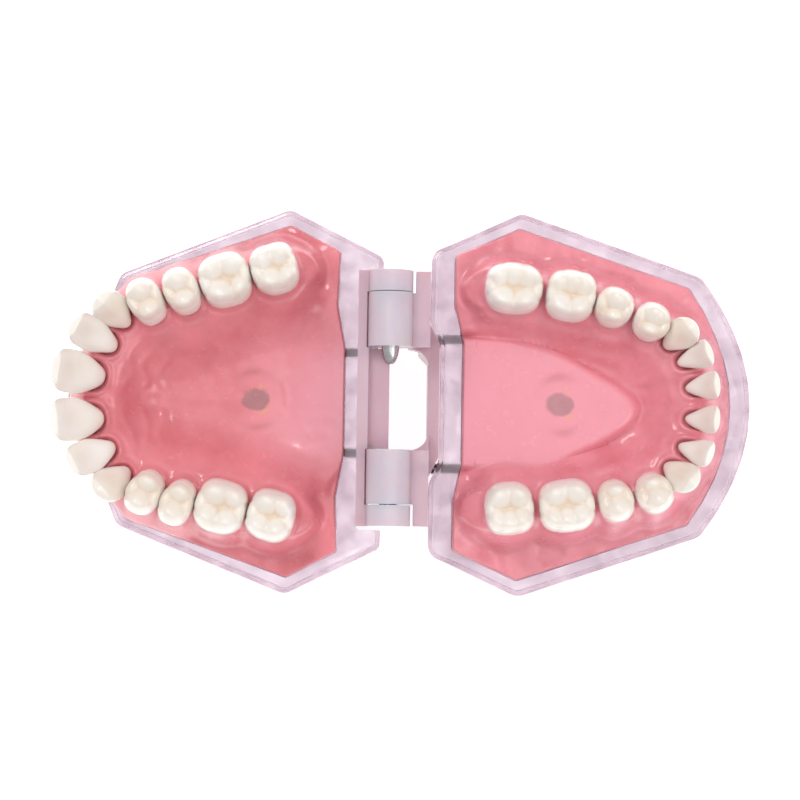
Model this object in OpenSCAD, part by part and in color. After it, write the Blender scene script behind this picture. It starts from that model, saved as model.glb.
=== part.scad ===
// Dental typodont: two clear jaw bases with pink gum plates, 28 single teeth
// held by screws from below, and a rear hinge on two steel pins.
// Drawn opened flat: lower jaw towards +X, upper jaw towards -X, teeth up.
// Millimetres, +Z up.

/* [Bases] */
// Height of the rim of each clear base
rim_z = 12; // [9:0.5:15]
// Height of the tray floor that the gum plate lies on
tray_z = 8; // [5:0.5:9]
// Clearance around gum plates and tooth sockets
play = 0.12; // [0.05:0.01:0.3]

/* [Hinge] */
// Height of the hinge axis, which lies in the biting plane
axis_z = 28.5; // [27:0.1:32]
// X of the hinge axis
axis_x = -3.65; // [-6:0.05:0]
// Radius of the hinge knuckles
knuckle_r = 4.05; // [3.5:0.05:4.3]
// Radius of the steel hinge pins
pin_r = 1.6; // [1.2:0.05:1.9]
// Radial clearance of the pins in the turning knuckles
pin_play = 0.05; // [0.02:0.01:0.1]

/* [Gums] */
// Height of the gum margin around the necks of the teeth
margin_z = 20.3; // [18:0.1:21]
// Height of the palate and of the floor of the mouth
floor_z = 13; // [12:0.5:15]
// Height of the flat tongue on the lower plate
tongue_z = 15.2; // [13:0.1:17]

/* [Teeth] */
// Height of the highest cusps
bite_z = 28.1; // [27:0.1:28.2]
// Extra height of the upper central incisors
upper_edge = 0.8; // [0:0.1:0.9]
// Amount by which the lower incisors stay below the biting plane
lower_edge = 0.5; // [0.4:0.1:1.5]

/* [Screws] */
// Shank radius of the tooth screws
screw_r = 0.95; // [0.7:0.05:1.2]
// Wall radius of the threaded mounting insert
insert_r = 2.1; // [1.6:0.1:2.6]

/* [Hidden] */

$fn = 48;
ring_n = 20;

// One tooth: distance of its middle from the hinge axis, distance from the
// midline, turn of its cheek side from the front, width, depth, kind.
// Kinds: 0 upper incisor, 1 lower incisor, 2 canine, 3 upper premolar,
// 4 lower premolar, 5 upper molar, 6 lower molar.
UL = [[57.2, 4.1, 8, 8.1, 8.8, 0], [54.5, 11.0, 28, 6.4, 8.4, 0],
      [51.3, 15.8, 42, 6.5, 8.0, 2], [45.0, 17.4, 61, 6.6, 9.2, 3],
      [38.5, 19.4, 65, 6.6, 9.2, 3], [30.5, 21.6, 73, 9.6, 10.1, 5],
      [21.5, 23.8, 72, 8.8, 9.6, 5]];
UR = [[57.3, 4.5, 6, 8.1, 8.8, 0], [54.5, 11.1, 28, 6.4, 8.4, 0],
      [50.8, 16.1, 42, 6.5, 8.0, 2], [44.6, 17.6, 61, 6.6, 8.8, 3],
      [38.6, 19.4, 65, 6.3, 9.0, 3], [30.6, 20.0, 75, 9.6, 10.1, 5],
      [21.4, 21.5, 75, 8.9, 9.8, 5]];
LL = [[57.4, 3.3, 5, 5.1, 6.0, 1], [55.9, 8.6, 20, 5.1, 6.4, 1],
      [53.4, 12.8, 38, 5.9, 7.2, 2], [47.9, 15.0, 60, 6.9, 7.4, 4],
      [41.0, 17.6, 72, 7.1, 7.8, 4], [33.0, 19.6, 80, 9.3, 9.8, 6],
      [22.5, 20.8, 84, 10.6, 9.8, 6]];
LR = [[57.4, 2.8, 4, 5.1, 6.0, 1], [56.2, 8.6, 20, 5.1, 6.4, 1],
      [53.8, 13.3, 38, 6.1, 7.2, 2], [48.7, 16.4, 60, 6.9, 7.8, 4],
      [41.7, 17.9, 74, 6.6, 8.2, 4], [32.7, 18.9, 82, 10.4, 10.0, 6],
      [22.2, 19.6, 84, 9.2, 10.0, 6]];

UC = [27, 0];   // middle of the upper plate, from the hinge axis
LC = [33, 0];   // middle of the lower plate, from the hinge axis
UI = 25.3;      // upper insert, from the hinge axis
LI = 32.0;      // lower insert, from the hinge axis

function clamp01(x) = max(0, min(1, x));
function smooth(x) = let (t = clamp01(x)) t * t * (3 - 2 * t);
function mix(a, b, t) = a + (b - a) * t;
function sgn(x) = x < 0 ? -1 : 1;
function spow(x, p) = sgn(x) * pow(abs(x), p);

// ---------------------------------------------------------------- placing
module in_lower() { translate([axis_x, 0, 0]) children(); }
module in_upper() { translate([axis_x, 0, 0]) mirror([1, 0, 0]) children(); }

// ---------------------------------------------------------------- outlines
// Corner list for +Y, mirrored to -Y, in order round the plate.
function both(h) = concat([for (p = h) [p[0], -p[1]]], [for (i = [len(h) - 1:-1:0]) h[i]]);
// Rounds each corner by a cut of at most c along its two sides.
function rounded(P, c, n = 3) = [for (i = [0:len(P) - 1])
  let (q = P[i], a = P[(i + len(P) - 1) % len(P)], b = P[(i + 1) % len(P)],
       la = norm(a - q), lb = norm(b - q), k = min(c, la * 0.45, lb * 0.45),
       s = q + (a - q) * k / la, e = q + (b - q) * k / lb)
  for (j = [0:n]) let (t = j / n) s * (1 - t) * (1 - t) + q * 2 * t * (1 - t) + e * t * t];
function split_long(P, s) = [for (i = [0:len(P) - 1])
  let (a = P[i], b = P[(i + 1) % len(P)], n = max(1, ceil(norm(b - a) / s)))
  for (k = [0:n - 1]) a + (b - a) * k / n];
function front_arc(d0, c, ymax) = [for (k = [5:-1:1]) let (y = ymax * k / 5) [d0 - c * y * y, y]];

function upper_bottom() = rounded(both([[1.6, 28.2], [19.6, 37.6], [52.1, 24.7], [53.9, 19.9], [57.9, 12.2], [60.8, 5.6], [61.5, 1.2]]), 1.6);
function upper_rim() = rounded(both([[1.5, 27.3], [19.2, 36.1], [50.9, 23.5], [52.6, 19.2], [56.6, 11.7], [59.7, 5.3], [60.4, 1.2]]), 1.6);
function upper_plate() = rounded(both([[8.5, 10], [10, 18], [9.6, 28], [19, 33], [49.2, 22.4], [51.7, 18.8], [56.0, 11.4], [59.1, 5.2], [59.8, 1.2]]), 1.6);
function lower_bottom() = rounded(concat(
  [for (p = lower_half(69.2, 0.01525, 24.6, 7.6, 28.8, 26, 37.7, 0)) [p[0], -p[1]]],
  [[69.2, 0]],
  [for (i = [len(lower_half(69.2, 0.01525, 24.6, 7.6, 28.8, 26, 37.7, 0)) - 1:-1:0])
    lower_half(69.2, 0.01525, 24.6, 7.6, 28.8, 26, 37.7, 0)[i]]), 1.6);
function lower_rim() = rounded(concat(
  [for (p = lower_half(67.6, 0.0156, 24.4, 7.4, 27.8, 24.2, 36.0, 1)) [p[0], -p[1]]],
  [[67.6, 0]],
  [for (i = [len(lower_half(67.6, 0.0156, 24.4, 7.4, 27.8, 24.2, 36.0, 1)) - 1:-1:0])
    lower_half(67.6, 0.0156, 24.4, 7.4, 27.8, 24.2, 36.0, 1)[i]]), 1.6);
function lower_half(df, c, yf, dr, yr, dk, yk, u) = concat(
  [[9.35, 11.0], [dr, 15.2], [dr + 0.1, yr - 0.6], [dr + 1.0, yr + 1.0], [dr + 3.2, yr + 1.9], [dk, yk]],
  [for (p = front_arc(df, c, yf)) p]);
function lower_plate() = rounded(concat(
  [[13.6, -11.5], [12, -18], [12, -27.5], [24, -33]],
  [for (k = [5:-1:-5]) let (y = -22.2 * k / 5) [63.7 - 0.0158 * y * y, y]],
  [[24, 33], [12, 27.5], [12, 18], [13.6, 11.5]]), 1.6);

// ---------------------------------------------------------------- teeth
// Rings of a tooth: height, width share, depth share, shift share, lowest
// height of the chewing surface (0: plain ring). The first two rings are the
// straight root that stands in the gum.
function rings(kind, zt) = let (r = tray_z, m = margin_z + 0.1)
  kind == 0 ? [[r, .60, .56, -.48, 0], [m, .60, .56, -.48, 0], [21.4, .70, .62, -.40, 0],
               [23.2, .84, .60, -.18, 0], [25.2, .95, .45, .15, 0], [27.0, 1, .28, .50, 0],
               [zt - .5, 1, .15, .78, 0], [zt, .93, .08, .85, 0]] :
  kind == 1 ? [[r, .62, .80, -.12, 0], [m, .62, .80, -.12, 0], [21.4, .72, .82, -.10, 0],
               [23.0, .84, .72, .04, 0], [24.8, .94, .52, .28, 0], [26.3, 1, .34, .52, 0],
               [zt - .5, 1, .24, .70, 0], [zt, .93, .15, .76, 0]] :
  kind == 2 ? [[r, .62, .62, -.34, 0], [m, .62, .62, -.34, 0], [21.4, .76, .76, -.20, 0],
               [23.4, .96, .80, 0, 0], [25.0, 1, .62, .20, 0], [26.6, .76, .38, .38, 0],
               [zt - .5, .40, .20, .48, 0], [zt, .14, .08, .50, 0]] :
  kind <= 4 ? [[r, .72, .76, 0, 0], [m, .72, .76, 0, 0], [21.4, .84, .88, 0, 0],
               [23.2, .98, .99, 0, 0], [25.2, 1, .95, 0, 0], [26.2, .90, .80, 0, 26.2],
               [26, .62, .52, 0, 25.6], [26, .30, .24, 0, 25.2]] :
              [[r, .80, .78, 0, 0], [m, .80, .78, 0, 0], [21.4, .90, .88, 0, 0],
               [23.2, .99, .99, 0, 0], [25.2, 1, .96, 0, 0], [26.2, .90, .82, 0, 26.2],
               [26, .62, .54, 0, 25.6], [26, .30, .26, 0, 25.2]];
// Squareness of the outline and its taper towards the tongue side.
function square_of(kind) = kind <= 2 ? 2.2 : kind <= 4 ? 2.3 : 2.9;
function taper_of(kind) = kind <= 1 ? .30 : kind == 2 ? .24 : kind <= 4 ? .10 : .05;
// Cusps: width share, depth share, drop below the highest cusp.
function cusps(kind) =
  kind == 3 ? [[0, .50, 0], [.05, -.50, .4], [.8, 0, 1.4], [-.8, 0, 1.4]] :
  kind == 4 ? [[0, .42, 0], [.10, -.48, 1.0], [.8, -.05, 1.5], [-.8, -.05, 1.4]] :
  kind == 5 ? [[.46, .52, 0], [-.42, .52, .1], [.36, -.46, 0], [-.50, -.48, .5], [.88, 0, 1.3], [-.88, 0, 1.4]] :
              [[.48, .52, .1], [-.06, .56, .2], [-.56, .46, .4], [.46, -.52, 0], [-.40, -.52, .1], [.88, 0, 1.4], [-.88, 0, 1.5]];
function cusp_z(kind, W, B, x, y, low, zt) = max(low,
  max([for (c = cusps(kind)) zt - c[2] - 0.30 * (pow(x - c[0] * W, 2) + pow(y - c[1] * B, 2))]));
function ring_xy(kind, W, B, r, t) =
  let (e = 2 / square_of(kind), y = B * r[2] * spow(sin(t), e),
       x = W * r[1] * spow(cos(t), e) * (1 + taper_of(kind) * (spow(sin(t), e) - 0.5) * (kind <= 2 ? 1 : 0.6)))
  [x, y + B * r[3]];
function tooth_points(kind, W, B, zt) = concat(
  [[0, rings(kind, zt)[0][3] * B, tray_z]],
  [for (r = rings(kind, zt)) for (i = [0:ring_n - 1])
    let (p = ring_xy(kind, W, B, r, (i + 0.5) * 360 / ring_n))
    [p[0], p[1], r[4] == 0 ? r[0] : cusp_z(kind, W, B, p[0], p[1], r[4], zt)]],
  [kind <= 2 ? [0, rings(kind, zt)[7][3] * B, zt] : [0, 0, 25.1]]);
function tooth_faces() = let (n = ring_n, m = 8) concat(
  [for (i = [0:n - 1]) [0, 1 + i, 1 + (i + 1) % n]],
  [for (j = [0:m - 2]) for (i = [0:n - 1]) let (a = 1 + j * n + i, b = 1 + j * n + (i + 1) % n) each [[a, a + n, b], [b, a + n, b + n]]],
  [for (i = [0:n - 1]) [1 + m * n, 1 + (m - 1) * n + (i + 1) % n, 1 + (m - 1) * n + i]]);

function top_of(T, upper, i) = T[5] == 0 ? bite_z + (i == 0 ? upper_edge : 0.3) :
                               T[5] == 1 ? bite_z - lower_edge : bite_z;
module seat(T, side) {
  scale([1, 1, 1]) if (side > 0) translate([T[0], T[1], 0]) rotate([0, 0, T[2] - 90]) children();
  else mirror([0, 1, 0]) translate([T[0], T[1], 0]) rotate([0, 0, T[2] - 90]) children();
}
// Middle of the root, where the screw goes.
function root_y(T) = rings(T[5], 28)[0][3] * T[4] / 2;

module tooth(T, side, i, upper) {
  difference() {
    seat(T, side)
      polyhedron(points = tooth_points(T[5], T[3] / 2, T[4] / 2, top_of(T, upper, i)), faces = tooth_faces(), convexity = 6);
    seat(T, side) translate([0, root_y(T), tray_z - 1]) cylinder(r = screw_r + 0.05, h = 7.2);
  }
}
module socket(T, side) {
  seat(T, side) translate([0, 0, tray_z - 1]) linear_extrude(height = 20)
    polygon([for (i = [0:ring_n - 1])
      let (p = ring_xy(T[5], T[3] / 2 + play / rings(T[5], 28)[0][1], T[4] / 2 + play / rings(T[5], 28)[0][2],
                       rings(T[5], 28)[0], (i + 0.5) * 360 / ring_n))
      [p[0], p[1] - rings(T[5], 28)[0][3] * play / rings(T[5], 28)[0][2]]]);
}
module screw(T, side) {
  seat(T, side) translate([0, root_y(T), 0]) {
    difference() {
      translate([0, 0, 0.3]) cylinder(r = 1.7, h = 1.5);
      translate([-2, -0.25, 0]) cube([4, 0.5, 0.9]);
    }
    translate([0, 0, 1.7]) cylinder(r = screw_r, h = 12);
  }
}
module screw_hole(T, side) {
  seat(T, side) translate([0, root_y(T), 0]) {
    translate([0, 0, -1]) cylinder(r = 1.85, h = 2.8);
    translate([0, 0, -1]) cylinder(r = screw_r + 0.05, h = 12);
  }
}

// ---------------------------------------------------------------- gums
function neck(T, side) = let (a = T[2]) [T[0] + root_y(T) * cos(a), side * (T[1] + root_y(T) * sin(a))];
function arch(L, R) = concat([neck(L[6], 1) + [-7, 0.3]], [for (i = [6:-1:0]) neck(L[i], 1)],
                             [for (i = [0:6]) neck(R[i], -1)], [neck(R[6], -1) + [-7, -0.3]]);
function seg_dist(p, a, b) = let (u = b - a, t = clamp01((p - a) * u / (u * u))) norm(p - a - u * t);
function arch_dist(p, A) = min([for (i = [0:len(A) - 2]) seg_dist(p, A[i], A[i + 1])]);
function nearest(p, A) = let (D = [for (q = A) norm(q - p)], m = min(D), k = search(m, D)[0]) A[k];
// Height of the gum surface at p: a ridge along the arch, a gentle slope to
// the palate or tongue and a steeper one to the edge of the plate.
function gum_z(p, A, C, e, up) =
  let (d = arch_dist(p, A), inside = norm(p - C) < norm(nearest(p, A) - C),
       w = mix(mix(3.6, 5.4, clamp01((p[0] - 13) / 6)), up ? 3.4 : 3.6, clamp01((p[0] - 38) / 14)),
       mz = margin_z - 2.6 * smooth((19 - p[0]) / 8),
       fl = floor_z + (up ? 2.2 * pow(clamp01(abs(p[1]) / 18), 2) : (tongue_z - floor_z) * tongue(p)))
  inside ? mix(mz, fl, smooth((d - w) / 6.5)) : mix(mz, e, smooth((d - w) / 3.8));
function tongue(p) = 1 - smooth((norm([(p[0] - 14) / 33 * (p[0] < 14 ? 0 : 1), p[1] / mix(12.6, 9, clamp01((p[0] - 30) / 17))]) - 0.9) / 0.12);
grid_r = [0, .16, .30, .42, .52, .60, .67, .73, .78, .83, .87, .91, .94, .97, .99, 1];
module gum_body(P0, C, A, up) {
  P = split_long(P0, 2.5);
  n = len(P);
  m = len(grid_r) - 1;
  e = rim_z + 0.5;
  pts = concat(
    [[C[0], C[1], gum_z(C, A, C, e, up)]],
    [for (j = [1:m]) for (i = [0:n - 1]) let (q = C + (P[i] - C) * grid_r[j]) [q[0], q[1], gum_z(q, A, C, e, up) - (j == m ? 0.5 : 0)]],
    [for (i = [0:n - 1]) [P[i][0], P[i][1], tray_z]],
    [[C[0], C[1], tray_z]]);
  faces = concat(
    [for (i = [0:n - 1]) [0, 1 + (i + 1) % n, 1 + i]],
    [for (j = [0:m - 1]) for (i = [0:n - 1]) let (a = 1 + j * n + i, b = 1 + j * n + (i + 1) % n) each [[a, b, b + n], [a, b + n, a + n]]],
    [for (i = [0:n - 1]) [1 + (m + 1) * n, 1 + m * n + i, 1 + m * n + (i + 1) % n]]);
  polyhedron(points = pts, faces = faces, convexity = 8);
}

// ---------------------------------------------------------------- bases
module drafted(P, Q, h) {
  n = len(P);
  polyhedron(points = concat([for (p = P) [p[0], p[1], 0]], [for (q = Q) [q[0], q[1], h]]),
    faces = concat([[for (i = [0:n - 1]) i]], [[for (i = [n - 1:-1:0]) n + i]],
      [for (i = [0:n - 1]) let (b = (i + 1) % n) each [[i, i + n, b], [b, i + n, b + n]]]), convexity = 6);
}
// Opening in the plate's outline, slightly larger than the gum plate.
module tray(P, C) {
  translate([0, 0, tray_z]) linear_extrude(height = 10)
    polygon([for (p = P) C + (p - C) * (1 + play / norm(p - C) * 1.3)]);
}
module boss(d) { translate([d, 0, tray_z - 0.5]) cylinder(r = 6, h = 2.5); }
module insert_body(d) {
  translate([d, 0, 0]) difference() {
    union() {
      translate([0, 0, 0.3]) cylinder(r = 3, h = 9.4);
      translate([0, 0, 2.0]) cylinder(r = 3.4, h = 1.6);
      translate([0, 0, 6.2]) cylinder(r = 3.4, h = 1.6);
    }
    translate([0, 0, -1]) cylinder(r = insert_r, h = 9.2);
  }
}
module insert_hole(d) {
  translate([d, 0, -1]) cylinder(r = 3.45, h = 9.0);
  translate([d, 0, -1]) cylinder(r = 3.05, h = 12);
}
module gum_insert_pocket(d) { translate([d, 0, tray_z - 1]) cylinder(r = 6.15, h = 3.15); }

// Hinge screws run along X into the rear walls of the bases.
yoke_screw_y = 12.2; yoke_screw_z = 7;
leaf_screw_y = 9.5;  leaf_screw_z = 6;
module x_rod(x0, x1, y, z, r) { translate([x0, y, z]) rotate([0, 90, 0]) cylinder(r = r, h = x1 - x0); }

module lower_base() color([0.86, 0.83, 0.90, 0.45]) in_lower() difference() {
  union() {
    difference() {
      drafted(lower_bottom(), lower_rim(), rim_z);
      tray(lower_plate(), LC);
    }
    boss(LI);
  }
  insert_hole(LI);
  for (i = [0:6]) { screw_hole(LL[i], 1); screw_hole(LR[i], -1); }
  for (s = [-1, 1]) x_rod(5, 13.6, s * yoke_screw_y, yoke_screw_z, 1.15);
}
module upper_base() color([0.86, 0.83, 0.90, 0.45]) in_upper() difference() {
  union() {
    difference() {
      drafted(upper_bottom(), upper_rim(), rim_z);
      tray(upper_plate(), UC);
    }
    boss(UI);
  }
  // seat of the hinge leaf
  translate([-5, -24, -1]) cube([11, 48, 30]);
  insert_hole(UI);
  for (i = [0:6]) { screw_hole(UL[i], 1); screw_hole(UR[i], -1); }
  for (s = [-1, 1]) x_rod(4, 10.4, s * leaf_screw_y, leaf_screw_z, 1.15);
}
module lower_gum() color([0.86, 0.52, 0.60]) in_lower() difference() {
  gum_body(lower_plate(), LC, arch(LL, LR), false);
  for (i = [0:6]) { socket(LL[i], 1); socket(LR[i], -1); }
  gum_insert_pocket(LI);
}
module upper_gum() color([0.86, 0.48, 0.56]) in_upper() difference() {
  gum_body(upper_plate(), UC, arch(UL, UR), true);
  for (i = [0:6]) { socket(UL[i], 1); socket(UR[i], -1); }
  gum_insert_pocket(UI);
}
module lower_tooth_screws() color([0.75, 0.76, 0.78]) in_lower()
  for (i = [0:6]) { screw(LL[i], 1); screw(LR[i], -1); }
module upper_tooth_screws() color([0.75, 0.76, 0.78]) in_upper()
  for (i = [0:6]) { screw(UL[i], 1); screw(UR[i], -1); }
module lower_mount_insert() color([0.72, 0.56, 0.26]) in_lower() insert_body(LI);
module upper_mount_insert() color([0.72, 0.56, 0.26]) in_upper() insert_body(UI);

tooth_col = [0.95, 0.92, 0.86];
module lower_left_central_incisor() color(tooth_col) in_lower() tooth(LL[0], 1, 0, false);
module lower_left_lateral_incisor() color(tooth_col) in_lower() tooth(LL[1], 1, 1, false);
module lower_left_canine() color(tooth_col) in_lower() tooth(LL[2], 1, 2, false);
module lower_left_first_premolar() color(tooth_col) in_lower() tooth(LL[3], 1, 3, false);
module lower_left_second_premolar() color(tooth_col) in_lower() tooth(LL[4], 1, 4, false);
module lower_left_first_molar() color(tooth_col) in_lower() tooth(LL[5], 1, 5, false);
module lower_left_second_molar() color(tooth_col) in_lower() tooth(LL[6], 1, 6, false);
module lower_right_central_incisor() color(tooth_col) in_lower() tooth(LR[0], -1, 0, false);
module lower_right_lateral_incisor() color(tooth_col) in_lower() tooth(LR[1], -1, 1, false);
module lower_right_canine() color(tooth_col) in_lower() tooth(LR[2], -1, 2, false);
module lower_right_first_premolar() color(tooth_col) in_lower() tooth(LR[3], -1, 3, false);
module lower_right_second_premolar() color(tooth_col) in_lower() tooth(LR[4], -1, 4, false);
module lower_right_first_molar() color(tooth_col) in_lower() tooth(LR[5], -1, 5, false);
module lower_right_second_molar() color(tooth_col) in_lower() tooth(LR[6], -1, 6, false);
module upper_left_central_incisor() color(tooth_col) in_upper() tooth(UL[0], 1, 0, true);
module upper_left_lateral_incisor() color(tooth_col) in_upper() tooth(UL[1], 1, 1, true);
module upper_left_canine() color(tooth_col) in_upper() tooth(UL[2], 1, 2, true);
module upper_left_first_premolar() color(tooth_col) in_upper() tooth(UL[3], 1, 3, true);
module upper_left_second_premolar() color(tooth_col) in_upper() tooth(UL[4], 1, 4, true);
module upper_left_first_molar() color(tooth_col) in_upper() tooth(UL[5], 1, 5, true);
module upper_left_second_molar() color(tooth_col) in_upper() tooth(UL[6], 1, 6, true);
module upper_right_central_incisor() color(tooth_col) in_upper() tooth(UR[0], -1, 0, true);
module upper_right_lateral_incisor() color(tooth_col) in_upper() tooth(UR[1], -1, 1, true);
module upper_right_canine() color(tooth_col) in_upper() tooth(UR[2], -1, 2, true);
module upper_right_first_premolar() color(tooth_col) in_upper() tooth(UR[3], -1, 3, true);
module upper_right_second_premolar() color(tooth_col) in_upper() tooth(UR[4], -1, 4, true);
module upper_right_first_molar() color(tooth_col) in_upper() tooth(UR[5], -1, 5, true);
module upper_right_second_molar() color(tooth_col) in_upper() tooth(UR[6], -1, 6, true);

// ---------------------------------------------------------------- hinge
ear0 = 9.35; ear1 = 19.2;     // knuckle of the yoke
lug0 = 19.35; lug1 = 23.2;    // knuckle of the leaf
module knuckle(y0, y1, side, arm) {
  // round knuckle with an arm to its plate, bored by the caller
  translate([0, side > 0 ? y0 : -y1, 0]) {
    translate([0, 0, axis_z]) rotate([-90, 0, 0]) cylinder(r = knuckle_r, h = y1 - y0);
    translate([0, 0, axis_z - knuckle_r]) cube([arm, y1 - y0, knuckle_r - 0.35]);
  }
}
module yoke_plan() {
  // middle plate along the rear of the base, stepping forward to the arms on both sides
  half = [[9.1, 10.5], [7.25, 14.2], [7.25, 23.2], [4.9, 23.2], [5.2, 19.0], [5.2, 9.4], [6.95, 7.6]];
  polygon(both(half));
}
module window_corner(s) {
  // rounded corner between an arm and the middle plate
  mirror([0, s > 0 ? 0 : 1, 0]) translate([0, 0, 19]) linear_extrude(height = 5.4)
    polygon(concat([for (a = [0:10:90]) [3.2 + 3.75 * sin(a), 6.3 + 3.05 * cos(a)]], [[7.2, 6.3], [7.2, 9.6], [3.2, 9.6]]));
}
module hinge_yoke() color([0.88, 0.78, 0.84, 0.6]) in_lower() difference() {
  union() {
    translate([0, 0, 1]) linear_extrude(height = 20.5) yoke_plan();
    for (s = [-1, 1]) {
      // arms rising from the plate to the knuckles
      translate([4.9, s > 0 ? ear0 : -lug1, 20]) cube([2.35, lug1 - ear0, 8.15]);
      translate([4.5, s > 0 ? ear1 - 0.5 : -lug1, 20]) cube([1, lug1 - ear1 + 0.5, 8.15]);
      knuckle(ear0, ear1, s, 6);
      window_corner(s);
    }
  }
  for (s = [-1, 1]) {
    translate([0, s * 16.3 - 10, axis_z]) rotate([-90, 0, 0]) cylinder(r = pin_r, h = 20);
    // free space for the turning knuckle
    translate([0, s > 0 ? lug0 - 0.15 : -lug1 - 0.15, axis_z]) rotate([-90, 0, 0]) cylinder(r = knuckle_r + 0.3, h = lug1 - lug0 + 0.3);
    x_rod(3, 10, s * yoke_screw_y, yoke_screw_z, 1.15);
  }
}
module hinge_leaf() color([0.87, 0.82, 0.89, 0.6]) in_upper() difference() {
  union() {
    // plate in the rear seat of the base
    translate([3.9, -23.3, 1]) cube([2.0, 46.6, 27.15]);
    // stop tongue between the knuckles
    translate([0.1, -9.1, 20]) cube([4.6, 18.2, 6.4]);
    for (s = [-1, 1]) knuckle(lug0, lug1, s, 5);
  }
  for (s = [-1, 1]) {
    translate([0, s * 16.3 - 10, axis_z]) rotate([-90, 0, 0]) cylinder(r = pin_r + pin_play, h = 20);
    translate([0, s > 0 ? ear0 - 0.15 : -ear1 - 0.15, axis_z]) rotate([-90, 0, 0]) cylinder(r = knuckle_r + 0.3, h = ear1 - ear0 + 0.3);
    x_rod(3, 7, s * leaf_screw_y, leaf_screw_z, 1.15);
  }
}
module pin(side, inner) {
  // steel pin with a pointed nose
  y1 = lug1 - 0.4;
  in_lower() mirror([0, side > 0 ? 0 : 1, 0]) translate([0, inner, axis_z]) rotate([-90, 0, 0]) {
    cylinder(r = pin_r, h = y1 - inner);
    translate([0, 0, -1.9]) cylinder(r1 = 1.15, r2 = pin_r, h = 1.9);
    translate([0, 0, -2.7]) cylinder(r1 = 0.55, r2 = 1.15, h = 0.8);
    translate([0, 0, -3.0]) cylinder(r1 = 0.12, r2 = 0.55, h = 0.3);
  }
}
module hinge_pin_left() color([0.72, 0.73, 0.75]) pin(1, 9.2);
module hinge_pin_right() color([0.72, 0.73, 0.75]) pin(-1, 12.5);
module hinge_screw(x0, x1, xh, y, z) {
  x_rod(x0, x1, y, z, 1.1);
  difference() {
    x_rod(xh, x0 + 0.01, y, z, 2.2);
    translate([xh - 0.1, y - 2.5, z - 0.3]) cube([0.7, 5, 0.6]);
  }
}
module hinge_yoke_screws() color([0.70, 0.71, 0.73]) in_lower()
  for (s = [-1, 1]) hinge_screw(5.15, 13.2, 3.7, s * yoke_screw_y, yoke_screw_z);
module hinge_leaf_screws() color([0.70, 0.71, 0.73]) in_upper()
  for (s = [-1, 1]) hinge_screw(3.85, 10.0, 2.4, s * leaf_screw_y, leaf_screw_z);

lower_base();
lower_gum();
lower_tooth_screws();
lower_mount_insert();
lower_left_central_incisor();
lower_left_lateral_incisor();
lower_left_canine();
lower_left_first_premolar();
lower_left_second_premolar();
lower_left_first_molar();
lower_left_second_molar();
lower_right_central_incisor();
lower_right_lateral_incisor();
lower_right_canine();
lower_right_first_premolar();
lower_right_second_premolar();
lower_right_first_molar();
lower_right_second_molar();
hinge_yoke();
hinge_yoke_screws();
hinge_pin_left();
hinge_pin_right();
upper_base();
upper_gum();
upper_tooth_screws();
upper_mount_insert();
upper_left_central_incisor();
upper_left_lateral_incisor();
upper_left_canine();
upper_left_first_premolar();
upper_left_second_premolar();
upper_left_first_molar();
upper_left_second_molar();
upper_right_central_incisor();
upper_right_lateral_incisor();
upper_right_canine();
upper_right_first_premolar();
upper_right_second_premolar();
upper_right_first_molar();
upper_right_second_molar();
hinge_leaf();
hinge_leaf_screws();
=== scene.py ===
import math
import bpy
import numpy as np
from mathutils import Matrix, Vector


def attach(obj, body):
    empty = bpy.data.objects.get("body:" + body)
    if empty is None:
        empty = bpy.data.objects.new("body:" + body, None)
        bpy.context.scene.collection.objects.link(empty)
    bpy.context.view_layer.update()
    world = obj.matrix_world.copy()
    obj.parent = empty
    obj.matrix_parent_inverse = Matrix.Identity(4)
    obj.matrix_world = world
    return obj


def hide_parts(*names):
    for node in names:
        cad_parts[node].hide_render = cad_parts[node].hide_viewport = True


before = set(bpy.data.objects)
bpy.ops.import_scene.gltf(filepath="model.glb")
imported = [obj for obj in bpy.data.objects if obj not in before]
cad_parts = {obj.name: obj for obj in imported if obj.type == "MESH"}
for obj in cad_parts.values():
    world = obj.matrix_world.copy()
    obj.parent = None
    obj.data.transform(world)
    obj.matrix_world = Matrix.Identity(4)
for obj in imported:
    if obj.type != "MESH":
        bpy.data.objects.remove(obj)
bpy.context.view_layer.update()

MM = 0.001
AX, AZ = -3.65, 28.5          # hinge axis, mm
RIM, TRAY, MARGIN, FLOOR, TONGUE, BITE = 12.0, 8.0, 20.3, 13.0, 15.2, 28.1
rng = np.random.RandomState(7)

# One tooth: distance from the hinge axis, from the midline, turn of its cheek
# side from the front, width, depth, kind (as in the part's own table).
UL = [[57.2, 4.1, 8, 8.1, 8.8, 0], [54.5, 11.0, 28, 6.4, 8.4, 0],
      [51.3, 15.8, 42, 6.5, 8.0, 2], [45.0, 17.4, 61, 6.6, 9.2, 3],
      [38.5, 19.4, 65, 6.6, 9.2, 3], [30.5, 21.6, 73, 9.6, 10.1, 5],
      [21.5, 23.8, 72, 8.8, 9.6, 5]]
UR = [[57.3, 4.5, 6, 8.1, 8.8, 0], [54.5, 11.1, 28, 6.4, 8.4, 0],
      [50.8, 16.1, 42, 6.5, 8.0, 2], [44.6, 17.6, 61, 6.6, 8.8, 3],
      [38.6, 19.4, 65, 6.3, 9.0, 3], [30.6, 20.0, 75, 9.6, 10.1, 5],
      [21.4, 21.5, 75, 8.9, 9.8, 5]]
LL = [[57.4, 3.3, 5, 5.1, 6.0, 1], [55.9, 8.6, 20, 5.1, 6.4, 1],
      [53.4, 12.8, 38, 5.9, 7.2, 2], [47.9, 15.0, 60, 6.9, 7.4, 4],
      [41.0, 17.6, 72, 7.1, 7.8, 4], [33.0, 19.6, 80, 9.3, 9.8, 6],
      [22.5, 20.8, 84, 10.6, 9.8, 6]]
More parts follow.
